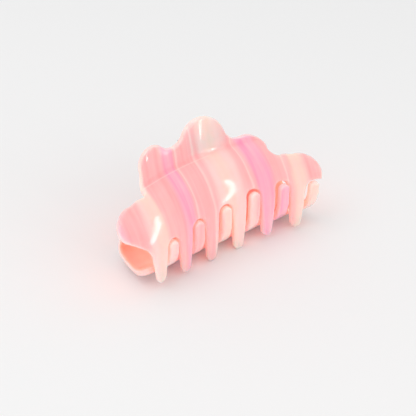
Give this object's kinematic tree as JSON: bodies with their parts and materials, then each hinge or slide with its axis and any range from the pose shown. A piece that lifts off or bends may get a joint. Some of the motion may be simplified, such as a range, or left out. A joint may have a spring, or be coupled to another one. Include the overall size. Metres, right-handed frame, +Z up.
{
  "type": "claw hair clip",
  "caption": "Large glossy claw hair clip: two toothed acetate jaws with cloud-shaped handles on a sprung pin hinge, lying closed on its belly and tooth tips.",
  "frame": {"origin": "centre of the bounding box on the plane the closed clip rests on", "axes": "+X along the clip from the low rounded end with the tall handle lobe to the other end, +Y from the front jaw towards the rear handle, +Z up"},
  "size_m": [0.0894, 0.0394, 0.0512],
  "materials": {
    "acetate_front": "gloss",
    "acetate_rear": "gloss",
    "steel_front_leaf": "satin",
    "steel_rear_leaf": "satin",
    "steel_pin": "satin",
    "spring_wire": "satin",
    "rivet_front_left": "satin",
    "rivet_front_right": "satin",
    "rivet_rear_left": "satin",
    "rivet_rear_right": "satin"
  },
  "bodies": {
    "rear_body": {"rear_jaw": "acetate_rear", "rear_leaf": "steel_rear_leaf", "hinge_pin": "steel_pin", "torsion_spring": "spring_wire", "rear_rivet_left": "rivet_rear_left", "rear_rivet_right": "rivet_rear_right"},
    "front_body": {"front_jaw": "acetate_front", "front_leaf": "steel_front_leaf", "front_rivet_left": "rivet_front_left", "front_rivet_right": "rivet_front_right"}
  },
  "joints": [
    {"name": "jaw_hinge", "type": "hinge", "parent": "rear_body", "child": "front_body", "pos_m": [0.0033, 0.00768, 0.03602], "axis": [-1, 0, 0], "range_deg": [0, 70], "stiffness_Nm_per_rad": 0.06, "springref_deg": -45.84, "deforming": ["torsion_spring"]}
  ]
}
